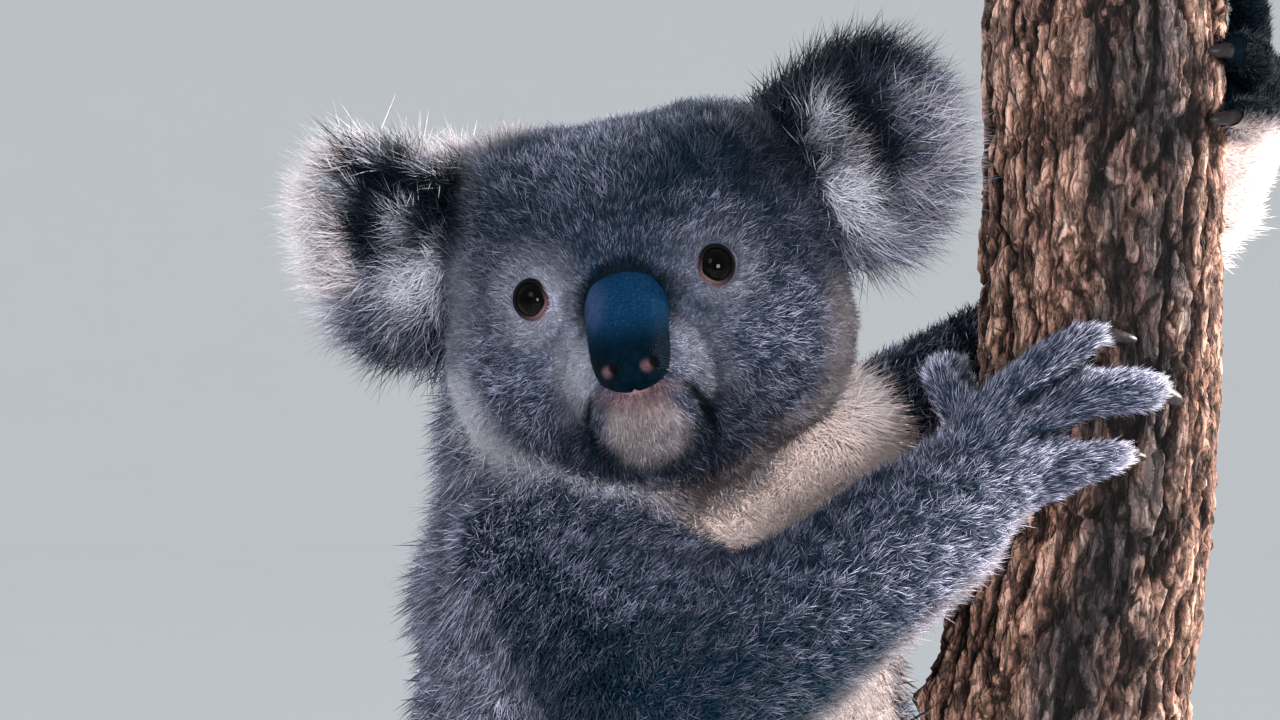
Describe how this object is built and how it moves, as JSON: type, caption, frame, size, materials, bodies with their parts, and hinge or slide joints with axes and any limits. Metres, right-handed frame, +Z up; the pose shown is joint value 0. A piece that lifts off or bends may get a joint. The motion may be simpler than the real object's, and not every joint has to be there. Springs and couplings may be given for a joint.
{
  "type": "koala model",
  "caption": "Life-size still model of a koala clinging to an upright length of trunk with its head turned to the side, on a round display base.",
  "frame": {"origin": "centre of the underside of the round base", "axes": "+Z up; the trunk stands on the animal's +X side, which it faces; its right flank and its turned face look along -Y"},
  "size_m": [0.3878, 0.36, 0.745],
  "materials": {
    "coat": "short dense grey fur with paler tips",
    "coat_pale": "longer pale fur of the ears",
    "nose_leather": "smooth dark skin with a soft sheen",
    "eye": "wet gloss, dark brown",
    "claw": "dark horn",
    "bark": "furrowed red-brown bark",
    "stand_base": "black-stained, satin",
    "stand_rod": "black, satin"
  },
  "bodies": {
    "root": {"head": "coat", "nose": "nose_leather", "eye_right": "eye", "eye_left": "eye", "ear_right": "coat_pale", "ear_left": "coat_pale", "neck": "coat", "torso": "coat", "upper_arm_right": "coat", "forearm_right": "coat", "hand_right": "coat", "thigh_right": "coat", "shank_right": "coat", "foot_right": "coat", "upper_arm_left": "coat", "forearm_left": "coat", "hand_left": "coat", "thigh_left": "coat", "shank_left": "coat", "foot_left": "coat", "claw_hand_right_1": "claw", "claw_hand_right_2": "claw", "claw_hand_right_3": "claw", "claw_hand_right_4": "claw", "claw_hand_right_5": "claw", "claw_foot_right_2": "claw", "claw_foot_right_3": "claw", "claw_foot_right_4": "claw", "claw_foot_right_5": "claw", "claw_hand_left_1": "claw", "claw_hand_left_2": "claw", "claw_hand_left_3": "claw", "claw_hand_left_4": "claw", "claw_hand_left_5": "claw", "claw_foot_left_2": "claw", "claw_foot_left_3": "claw", "claw_foot_left_4": "claw", "claw_foot_left_5": "claw", "perch_trunk": "bark", "stand_base": "stand_base", "stand_rod": "stand_rod"}
  },
  "joints": []
}
